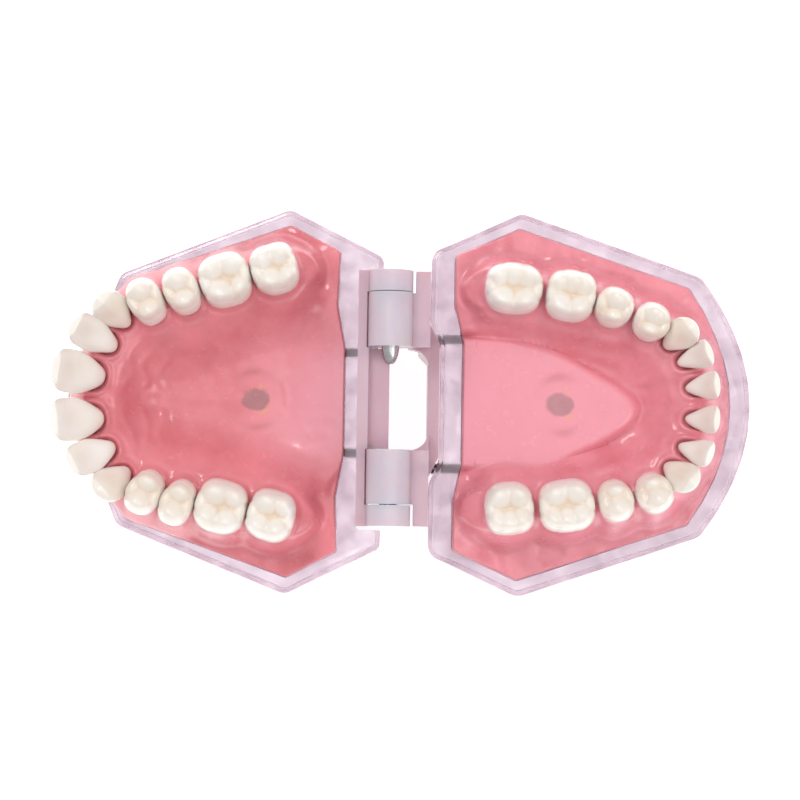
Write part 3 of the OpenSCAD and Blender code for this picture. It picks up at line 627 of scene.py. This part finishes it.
def simple(name, c1, c2, rough, scale, bump_s=0.1, bump_d=0.0001, metal=0.0, **sockets):
    m, nt, b = new_material(name)
    n = noise(nt, scale)
    r = ramp(nt, n.outputs["Fac"], [(0.3, c1), (0.7, c2)])
    nt.links.new(r.outputs["Color"], b.inputs["Base Color"])
    n2 = noise(nt, scale * 2.3, 5)
    mr = map_range(nt, n2.outputs["Fac"], rough[0], rough[1], 0.3, 0.7)
    nt.links.new(mr.outputs["Result"], b.inputs["Roughness"])
    bump(nt, b, n2.outputs["Fac"], bump_s, bump_d)
    b.inputs["Metallic"].default_value = metal
    for k, v in sockets.items():
        b.inputs[k.replace("_", " ")].default_value = v
    return m


def gum_material(name, main, dark, light, disc, centre):
    m, nt, b = new_material(name)
    n = noise(nt, 150, 4)
    c = ramp(nt, n.outputs["Fac"], [(0.32, dark), (0.52, main), (0.75, tuple(min(1, x * 1.10) for x in main))]).outputs["Color"]
    at = nt.nodes.new("ShaderNodeAttribute")
    at.attribute_name = "painted_light_and_tint"
    sep = nt.nodes.new("ShaderNodeSeparateColor")
    nt.links.new(at.outputs["Color"], sep.inputs["Color"])
    # lighter ground: painted light on the tongue top, a paler back of the palate
    c = mix_col(nt, sep.outputs[0], c, light)
    # painted shade from the vertex layer, in crevices, at the recess edge and on low ground
    deep = map_range(nt, sep.outputs[2], 0, 0.75).outputs["Result"]
    c = mix_col(nt, deep, c, tuple(x * 0.72 for x in dark))
    tc = nt.nodes.new("ShaderNodeTexCoord")
    off = nt.nodes.new("ShaderNodeVectorMath")
    off.operation = "SUBTRACT"
    off.inputs[1].default_value = centre
    nt.links.new(tc.outputs["Object"], off.inputs[0])
    flat = nt.nodes.new("ShaderNodeVectorMath")
    flat.operation = "MULTIPLY"
    flat.inputs[1].default_value = (0.93, 1.08, 0)
    nt.links.new(off.outputs["Vector"], flat.inputs[0])
    ln = nt.nodes.new("ShaderNodeVectorMath")
    ln.operation = "LENGTH"
    nt.links.new(flat.outputs["Vector"], ln.inputs[0])
    wob = map_range(nt, noise(nt, 420, 2).outputs["Fac"], -0.00022, 0.00022, 0.3, 0.7).outputs["Result"]
    add = nt.nodes.new("ShaderNodeMath")
    nt.links.new(ln.outputs["Value"], add.inputs[0])
    nt.links.new(wob, add.inputs[1])
    d = map_range(nt, add.outputs["Value"], 0.85, 0, 0.0020, 0.0026).outputs["Result"]
    tone = mix_col(nt, noise(nt, 600, 3).outputs["Fac"], tuple(x * 0.86 for x in disc), tuple(x * 1.14 for x in disc))
    c = mix_col(nt, d, c, tone)
    # painted glint of the brass insert seen through the gum
    g = map_range(nt, at.outputs["Alpha"], 0, 0.75).outputs["Result"]
    c = mix_col(nt, g, c, srgb(226, 168, 112))
    nt.links.new(c, b.inputs["Base Color"])
    n2 = noise(nt, 420, 4)
    mr = map_range(nt, n2.outputs["Fac"], 0.16, 0.30, 0.3, 0.7)
    nt.links.new(mr.outputs["Result"], b.inputs["Roughness"])
    n3 = noise(nt, 900, 3)
    bump(nt, b, n3.outputs["Fac"], 0.10, 0.00018)
    b.inputs["Subsurface Weight"].default_value = 0.25
    b.inputs["Subsurface Radius"].default_value = (1.0, 0.35, 0.3)
    b.inputs["Subsurface Scale"].default_value = 0.0015
    b.inputs["Coat Weight"].default_value = 0.35
    b.inputs["Coat Roughness"].default_value = 0.08
    b.inputs["IOR"].default_value = 1.45
    return m


def tooth_material():
    m, nt, b = new_material("tooth_resin")
    n = noise(nt, 130, 3)
    c = ramp(nt, n.outputs["Fac"], [(0.3, srgb(240, 231, 221)), (0.5, srgb(243, 236, 228)), (0.72, srgb(246, 241, 236))]).outputs["Color"]
    at = nt.nodes.new("ShaderNodeAttribute")
    at.attribute_name = "painted_light_and_tint"
    sep = nt.nodes.new("ShaderNodeSeparateColor")
    nt.links.new(at.outputs["Color"], sep.inputs["Color"])
    # tan laid on by the vertex layer: tint, and painted warm shade towards the gum line
    w = map_range(nt, sep.outputs[0], 0, 0.85).outputs["Result"]
    c = mix_col(nt, w, c, srgb(231, 210, 188))
    nt.links.new(c, b.inputs["Base Color"])
    n2 = noise(nt, 500, 4)
    mr = map_range(nt, n2.outputs["Fac"], 0.15, 0.27, 0.3, 0.7)
    nt.links.new(mr.outputs["Result"], b.inputs["Roughness"])
    bump(nt, b, n2.outputs["Fac"], 0.08, 0.00012)
    b.inputs["Subsurface Weight"].default_value = 0.18
    b.inputs["Subsurface Radius"].default_value = (1.0, 0.75, 0.55)
    b.inputs["Subsurface Scale"].default_value = 0.0010
    b.inputs["Coat Weight"].default_value = 0.25
    b.inputs["Coat Roughness"].default_value = 0.10
    b.inputs["IOR"].default_value = 1.5
    return m


# main, darker and lighter pink; the lighter one serves the paler palate back and painted light on the tongue top; then
# the insert disc colour and centre
M_UP = gum_material("gum_upper", srgb(228, 131, 140), srgb(219, 118, 127), srgb(242, 166, 179), srgb(164, 112, 116), ((AX - UI + .2) * MM, .15 * MM, 0))
M_LO = gum_material("gum_lower", srgb(234, 146, 158), srgb(225, 130, 141), srgb(236, 154, 168), srgb(178, 126, 133), ((AX + LI - .3) * MM, -.15 * MM, 0))
M_TOOTH = tooth_material()


def base_material():
    """clear plastic tinted lilac as a painted reflection of the pink gums; the rim is painted lighter than the walls,
    which carry faint streaks running down them
    """
    m, nt, b = new_material("clear_base")
    n = noise(nt, 90)
    # rim top: lilac tint as a painted reflection of the pink gums, painted lighter than the walls
    top = ramp(nt, n.outputs["Fac"], [(0.3, srgb(202, 192, 202)), (0.7, srgb(211, 203, 211))]).outputs["Color"]
    tc = nt.nodes.new("ShaderNodeTexCoord")
    mp = nt.nodes.new("ShaderNodeMapping")
    mp.inputs["Scale"].default_value = (1, 1, 0.12)
    nt.links.new(tc.outputs["Object"], mp.inputs["Vector"])
    st = nt.nodes.new("ShaderNodeTexNoise")
    st.inputs["Scale"].default_value = 260
    st.inputs["Detail"].default_value = 3
    nt.links.new(mp.outputs["Vector"], st.inputs["Vector"])
    # outer walls: painted darker than the rim, with streaks
    side = ramp(nt, st.outputs["Fac"], [(0.35, srgb(172, 145, 160)), (0.5, srgb(192, 167, 180)), (0.68, srgb(214, 197, 207))]).outputs["Color"]
    sp = nt.nodes.new("ShaderNodeSeparateXYZ")
    nt.links.new(tc.outputs["Object"], sp.inputs["Vector"])
    h = map_range(nt, sp.outputs["Z"], 0, 1, 0.0112, 0.0119).outputs["Result"]
    # painted lighter: the thick wall beside the hinge looks paler
    dx = nt.nodes.new("ShaderNodeMath")
    dx.operation = "SUBTRACT"
    dx.inputs[1].default_value = AX * MM
    nt.links.new(sp.outputs["X"], dx.inputs[0])
    ab = nt.nodes.new("ShaderNodeMath")
    ab.operation = "ABSOLUTE"
    nt.links.new(dx.outputs["Value"], ab.inputs[0])
    near = map_range(nt, ab.outputs["Value"], 0.75, 0, 0.0085, 0.0120).outputs["Result"]
    top = mix_col(nt, near, top, srgb(221, 216, 223))
    nt.links.new(mix_col(nt, h, side, top), b.inputs["Base Color"])
    n2 = noise(nt, 230, 5)
    nt.links.new(map_range(nt, n2.outputs["Fac"], 0.03, 0.10, 0.3, 0.7).outputs["Result"], b.inputs["Roughness"])
    bump(nt, b, n2.outputs["Fac"], 0.04, 0.0001)
    b.inputs["Transmission Weight"].default_value = 0.66
    b.inputs["IOR"].default_value = 1.49
    return m


M_BASE = base_material()


def hinge_material():
    """milky plastic with painted light: pinker and darker in its lower parts, lighter on the high knuckles"""
    m, nt, b = new_material("hinge_plastic")
    n = noise(nt, 120)
    lo_ = ramp(nt, n.outputs["Fac"], [(0.3, srgb(214, 175, 189)), (0.7, srgb(220, 184, 197))]).outputs["Color"]
    hi_ = ramp(nt, n.outputs["Fac"], [(0.3, srgb(233, 217, 229)), (0.7, srgb(239, 225, 236))]).outputs["Color"]
    tc = nt.nodes.new("ShaderNodeTexCoord")
    sp = nt.nodes.new("ShaderNodeSeparateXYZ")
    nt.links.new(tc.outputs["Object"], sp.inputs["Vector"])
    # painted light: the colour turns lighter with height
    h = map_range(nt, sp.outputs["Z"], 0, 1, 0.0272, 0.0305).outputs["Result"]
    nt.links.new(mix_col(nt, h, lo_, hi_), b.inputs["Base Color"])
    n2 = noise(nt, 260, 5)
    nt.links.new(map_range(nt, n2.outputs["Fac"], 0.14, 0.26, 0.3, 0.7).outputs["Result"], b.inputs["Roughness"])
    bump(nt, b, n2.outputs["Fac"], 0.06, 0.0001)
    b.inputs["Transmission Weight"].default_value = 0.30
    b.inputs["IOR"].default_value = 1.47
    b.inputs["Subsurface Weight"].default_value = 0.45
    b.inputs["Subsurface Scale"].default_value = 0.004
    return m


M_HINGE = hinge_material()
M_STEEL = simple("steel", (0.48, 0.48, 0.50), (0.62, 0.62, 0.63), (0.18, 0.34), 900, 0.10, 0.00005, 1.0)
M_BRASS = simple("brass", (0.62, 0.42, 0.14), (0.76, 0.55, 0.24), (0.22, 0.38), 700, 0.10, 0.00005, 1.0)


def finish(ob, node, body, mat):
    ob.data.materials.append(mat)
    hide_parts(node)
    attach(ob, body)
    return ob


# ------------------------------------------------------------------ teeth and gums
for jaw, sides in (("upper", (("left", UL, 1), ("right", UR, -1))), ("lower", (("left", LL, 1), ("right", LR, -1)))):
    for word, table_, side in sides:
        for i, T in enumerate(table_):
            P, F, w = tooth_mesh(T, jaw == "upper", i, 11 + i * 7 + (side > 0) * 31 + (jaw == "upper") * 57)
            P = seat(P, T, side)
            if side < 0:
                F = [tuple(reversed(f)) for f in F]
            A = np.stack([w, w * 0, w * 0, w * 0 + 1], 1)
            node = "%s_%s_%s" % (jaw, word, NAMES[i])
            finish(make("tooth_" + node, P, F, jaw, 70, A), node, jaw + "_jaw", M_TOOTH)
    finish(gum(jaw), jaw + "_gum", jaw + "_jaw", M_UP if jaw == "upper" else M_LO)


# ------------------------------------------------------------------ screws, inserts, pins
def hexed(profile, hex_rings, n=48):
    """lathe with a hexagonal socket: the listed rings are hexagons"""
    def shape(j, r, z, t):
        if j not in hex_rings:
            return np.full(n, r)
        a = (t + math.pi / 6) % (math.pi / 3) - math.pi / 6
        return r / np.cos(a)
    return lathe(profile, n, shape)


def thread(r0, r1, z0, z1, pitch):
    """profile of thread crests between z0 and z1"""
    out, z = [], z0
    while z + pitch <= z1:
        out += [(r0, z), (r1, z + pitch * 0.35), (r1, z + pitch * 0.5), (r0, z + pitch * 0.85)]
        z += pitch
    return out


def tooth_screws(jaw):
    prof = ([(0, 1.25), (.80, 1.25), (.80, .32), (1.0, .30), (1.52, .30), (1.68, .42), (1.70, .55), (1.70, 1.70), (1.62, 1.80), (.82, 1.80)]
            + thread(.74, .95, 2.3, 13.2, .62) + [(.70, 13.5), (.45, 13.7), (0, 13.7)])
    # the first points form the socket in the head, so the piece is turned inside out there
    P0, F0 = hexed(prof, (0, 1), 36)
    parts = []
    for side, tab in ((1, UL if jaw == "upper" else LL), (-1, UR if jaw == "upper" else LR)):
        for T in tab:
            P = P0.copy()
            P[:, 1] += root_y(T)
            Q = seat(P, T, side)
            parts.append((Q, F0 if side > 0 else [tuple(reversed(f)) for f in F0]))
    P, F = joined(parts)
    return finish(make("screws_teeth_" + jaw, P, F, jaw, 35), jaw + "_tooth_screws", jaw + "_jaw", M_STEEL)


def insert(jaw):
    prof = [(0, 8.2)] + [(2.1, 8.2)] + [(r, z) for r, z in reversed(thread(2.1, 2.35, .9, 8.0, .8))] + [
        (2.15, .6), (2.45, .32), (2.85, .30), (3.0, .45), (3.0, 1.95), (3.3, 2.0), (3.4, 2.1), (3.4, 3.5), (3.3, 3.6), (3.0, 3.65),
        (3.0, 6.15), (3.3, 6.2), (3.4, 6.3), (3.4, 7.7), (3.3, 7.8), (3.0, 7.85), (3.0, 9.5), (2.85, 9.7), (0, 9.7)]
    first = [i for i, p in enumerate(prof[1:-1]) if abs(p[0] - 3.4) < 1e-6]

    def shape(j, r, z, t):
        return r - (0.14 * (np.sin(t * 24) > 0) if j in first else 0)
    P, F = lathe(prof, 96, shape)
    P[:, 0] += UI if jaw == "upper" else LI
    return finish(make("insert_" + jaw, P, F, jaw, 35), jaw + "_mount_insert", jaw + "_jaw", M_BRASS)


def along_x(P, flip=False):
    """turns a piece made about Z so that it points along +X"""
    Q = np.stack([P[:, 2], P[:, 1], -P[:, 0]], 1)
    return Q


def hinge_screws(jaw, z0, z1, zh, y, z, node):
    prof = ([(0, zh + .9), (1.0, zh + .9), (1.0, zh + .05), (1.15, zh), (1.95, zh), (2.15, zh + .15), (2.2, zh + .4), (2.2, z0 - .1), (2.1, z0), (1.0, z0)]
            + thread(.86, 1.1, z0 + .3, z1 - .5, .5) + [(.8, z1 - .3), (.5, z1), (0, z1)])
    P0, F0 = hexed(prof, (0, 1), 40)
    parts = []
    for s in (-1, 1):
        P = along_x(P0)
        P[:, 1] += s * y
        P[:, 2] += z
        parts.append((P, F0))
    P, F = joined(parts)
    return finish(make("screws_hinge_" + jaw, P, F, jaw, 35), node, jaw + "_jaw", M_STEEL)


def pin(side, y0, node):
    y1 = 22.8
    nose = [(1.6 * math.sqrt(max(0, 1 - ((3.0 - h) / 3.15) ** 1.9)), y0 - 3.0 + h) for h in (.02, .12, .3, .6, 1.0, 1.5, 2.0, 2.5, 2.85)]
    prof = [(0, y0 - 3.0)] + nose + [(1.6, y0), (1.6, y1 - .3), (1.48, y1 - .06), (1.3, y1), (0, y1)]
    P0, F0 = lathe(prof, 48)
    P = np.stack([P0[:, 0], P0[:, 2] * side, P0[:, 1] + AZ], 1)
    F = [tuple(reversed(f)) for f in F0] if side > 0 else F0
    return finish(make("pin_" + ("left" if side > 0 else "right"), P, F, "lower", 35), node, "lower_jaw", M_STEEL)


for jaw in ("upper", "lower"):
    tooth_screws(jaw)
    insert(jaw)
hinge_screws("lower", 5.15, 13.2, 3.7, 12.2, 7, "hinge_yoke_screws")
hinge_screws("upper", 3.85, 10.0, 2.4, 9.5, 6, "hinge_leaf_screws")
pin(1, 9.2, "hinge_pin_left")
pin(-1, 12.5, "hinge_pin_right")


# ------------------------------------------------------------------ clear bases
def cylinder(r, z0, z1, n=40):
    return lathe([(0, z0), (r, z0), (r, z1), (0, z1)], n)


def boxed(x0, x1, y0, y1, z0, z1):
    P = np.array([[x, y, z] for z in (z0, z1) for x, y in ((x0, y0), (x1, y0), (x1, y1), (x0, y1))], float)
    return P, [(3, 2, 1, 0), (4, 5, 6, 7), (0, 1, 5, 4), (1, 2, 6, 5), (2, 3, 7, 6), (3, 0, 4, 7)]


def boolean(ob, tool, op):
    m = ob.modifiers.new("cut", "BOOLEAN")
    m.operation, m.solver, m.object = op, "EXACT", tool
    dg = bpy.context.evaluated_depsgraph_get()
    me = bpy.data.meshes.new_from_object(ob.evaluated_get(dg))
    ob.modifiers.clear()
    old = ob.data
    ob.data = me
    bpy.data.meshes.remove(old)
    bpy.data.objects.remove(tool)


def base(jaw):
    lo, hi, gp = OUT[jaw]
    N = 12
    lo, hi = rounded(lo, 1.2, N), rounded(hi, 1.2, N)
    rows = [np.column_stack([inset(lo, .35), np.full(len(lo), 0.0)]), np.column_stack([inset(lo, .08), np.full(len(lo), .10)]),
            np.column_stack([lo, np.full(len(lo), .35)])]
    for q in (0.12, 0.30, 0.55, 0.80, 0.925):
        rows.append(np.column_stack([mix(lo, hi, q), np.full(len(lo), q * RIM)]))
    # rounded outer lip, then a low step up to the rim
    for d_, z_ in ((.06, .74), (.18, .60), (.36, .54), (.72, .52), (.80, .47), (.86, .34), (.92, .10), (1.0, .03), (1.14, 0)):
        rows.append(np.column_stack([inset(hi, d_), np.full(len(hi), RIM - z_)]))
    P = np.concatenate(rows)
    n = len(lo)
    F = loft_faces(n, len(rows))
    F.append(tuple(reversed(range(n))))
    F.append(tuple(range((len(rows) - 1) * n, len(rows) * n)))
    ob = make("base_" + jaw, P, F, jaw, 30)
    C = UC if jaw == "upper" else LC
    tr = rounded(gp, 0.5, 8)
    v = tr - C
    tr = C + v * (1 + 0.05 / np.linalg.norm(v, axis=1))[:, None]
    n = len(tr)
    TP = np.concatenate([np.column_stack([tr, np.full(n, TRAY)]), np.column_stack([tr, np.full(n, RIM - .2)]),
                         np.column_stack([inset(tr, -.2), np.full(n, RIM + .05)]), np.column_stack([inset(tr, -.2), np.full(n, RIM + 4.0)])])
    TF = loft_faces(n, 4) + [tuple(reversed(range(n))), tuple(range(3 * n, 4 * n))]
    boolean(ob, make("tool", TP, TF, jaw, 30), "DIFFERENCE")
    cx = UI if jaw == "upper" else LI
    p, f = cylinder(6, TRAY - .5, TRAY + 2, 72)
    p[:, 0] += cx
    boolean(ob, make("tool", p, f, jaw, 30), "UNION")
    parts = []
    for side, tab in ((1, UL if jaw == "upper" else LL), (-1, UR if jaw == "upper" else LR)):
        for T in tab:
            q, g = lathe([(0, -1), (1.85, -1), (1.85, 1.8), (1.0, 1.8), (1.0, 11), (0, 11)], 36)
            q[:, 1] += root_y(T)
            parts.append((seat(q, T, side), g if side > 0 else [tuple(reversed(h)) for h in g]))
    q, g = lathe([(0, -1), (3.45, -1), (3.45, 8), (3.05, 8), (3.05, 11), (0, 11)], 60)
    q[:, 0] += cx
    parts.append((q, g))
    P, F = joined(parts)
    boolean(ob, make("tool", P, F, jaw, 30), "DIFFERENCE")
    if jaw == "upper":
        bx = boxed(-5, 6, -24, 24, -1, 30)
        boolean(ob, make("tool", bx[0], bx[1], jaw, 30), "DIFFERENCE")
    y, z, x0, x1 = (9.5, 6, 4, 10.4) if jaw == "upper" else (12.2, 7, 5, 13.6)
    parts = []
    for s in (-1, 1):
        q, g = cylinder(1.15, x0, x1, 40)
        q = along_x(q)
        q[:, 1] += s * y
        q[:, 2] += z
        parts.append((q, g))
    P, F = joined(parts)
    boolean(ob, make("tool", P, F, jaw, 30), "DIFFERENCE")
    me = ob.data
    me.polygons.foreach_set("use_smooth", [True] * len(me.polygons))
    me.set_sharp_from_angle(angle=math.radians(32))
    return finish(ob, jaw + "_base", jaw + "_jaw", M_BASE)


base("upper")
base("lower")

# ------------------------------------------------------------------ hinge
for node in ("hinge_yoke", "hinge_leaf"):
    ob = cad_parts[node]
    ob.data.materials.clear()
    ob.data.materials.append(M_HINGE)
    ob.data.polygons.foreach_set("use_smooth", [True] * len(ob.data.polygons))
    ob.data.set_sharp_from_angle(angle=math.radians(35))
    bv = ob.modifiers.new("edges", "BEVEL")
    bv.width, bv.segments, bv.limit_method, bv.angle_limit = 0.00022, 3, "ANGLE", math.radians(40)
    bv.harden_normals = False

# ------------------------------------------------------------------ stage, light, camera
me = bpy.data.meshes.new("floor")
me.from_pydata([(-3, -3, 0), (3, -3, 0), (3, 3, 0), (-3, 3, 0)], [], [(0, 1, 2, 3)])
floor = bpy.data.objects.new("floor", me)
bpy.context.scene.collection.objects.link(floor)
fm, fn, fb = new_material("floor_white")
fb.inputs["Base Color"].default_value = (0.93, 0.93, 0.93, 1)
fb.inputs["Roughness"].default_value = 0.9
fb.inputs["Specular IOR Level"].default_value = 0.1
fb.inputs["Emission Color"].default_value = (1, 1, 1, 1)
fb.inputs["Emission Strength"].default_value = 0.76
me.materials.append(fm)

w = bpy.data.worlds.new("studio")
bpy.context.scene.world = w
w.use_nodes = True
wt = w.node_tree
wc = wt.nodes.new("ShaderNodeTexCoord")
ws = wt.nodes.new("ShaderNodeSeparateXYZ")
wr = wt.nodes.new("ShaderNodeValToRGB")
wr.color_ramp.elements[0].position, wr.color_ramp.elements[0].color = 0.02, (0.50, 0.48, 0.49, 1)
wr.color_ramp.elements[1].position, wr.color_ramp.elements[1].color = 0.45, (1, 1, 1, 1)
wt.links.new(wc.outputs["Generated"], ws.inputs["Vector"])
wt.links.new(ws.outputs["Z"], wr.inputs["Fac"])
wt.links.new(wr.outputs["Color"], wt.nodes["Background"].inputs["Color"])
wt.nodes["Background"].inputs["Strength"].default_value = 0.64


def area(name, loc, size, power, target=(0, 0, 0.01)):
    l = bpy.data.lights.new(name, "AREA")
    l.energy, l.shape, l.size, l.size_y = power, "RECTANGLE", size[0], size[1]
    o = bpy.data.objects.new(name, l)
    bpy.context.scene.collection.objects.link(o)
    o.location = loc
    o.rotation_euler = (Vector(target) - Vector(loc)).to_track_quat("-Z", "Y").to_euler()
    return o


area("key", (-0.35, 0.45, 0.75), (0.35, 0.25), 2.5)
area("fill", (0.55, -0.25, 0.70), (0.5, 0.5), 1.8)
area("top", (0.05, 0.02, 0.95), (0.7, 0.5), 1.0)

cam = bpy.data.cameras.new("camera")
co = bpy.data.objects.new("camera", cam)
bpy.context.scene.collection.objects.link(co)
tilt, roll = math.radians(2.75), math.radians(0.85)
target = Vector((-1.75, 0.40, 14.0)) * MM
back = Vector((0, -math.sin(tilt), math.cos(tilt)))
right = Vector((1, 0, 0))
up = back.cross(right)
R = right * math.cos(roll) + up * math.sin(roll)
U = -right * math.sin(roll) + up * math.cos(roll)
loc = target + back * 0.486
co.matrix_world = Matrix(((R.x, U.x, back.x, loc.x), (R.y, U.y, back.y, loc.y), (R.z, U.z, back.z, loc.z), (0, 0, 0, 1)))
cam.sensor_width = 36
cam.lens = 2600 * 36 / 800
cam.clip_start, cam.clip_end = 0.01, 20
bpy.context.scene.camera = co
bpy.context.scene.view_settings.view_transform = "Standard"
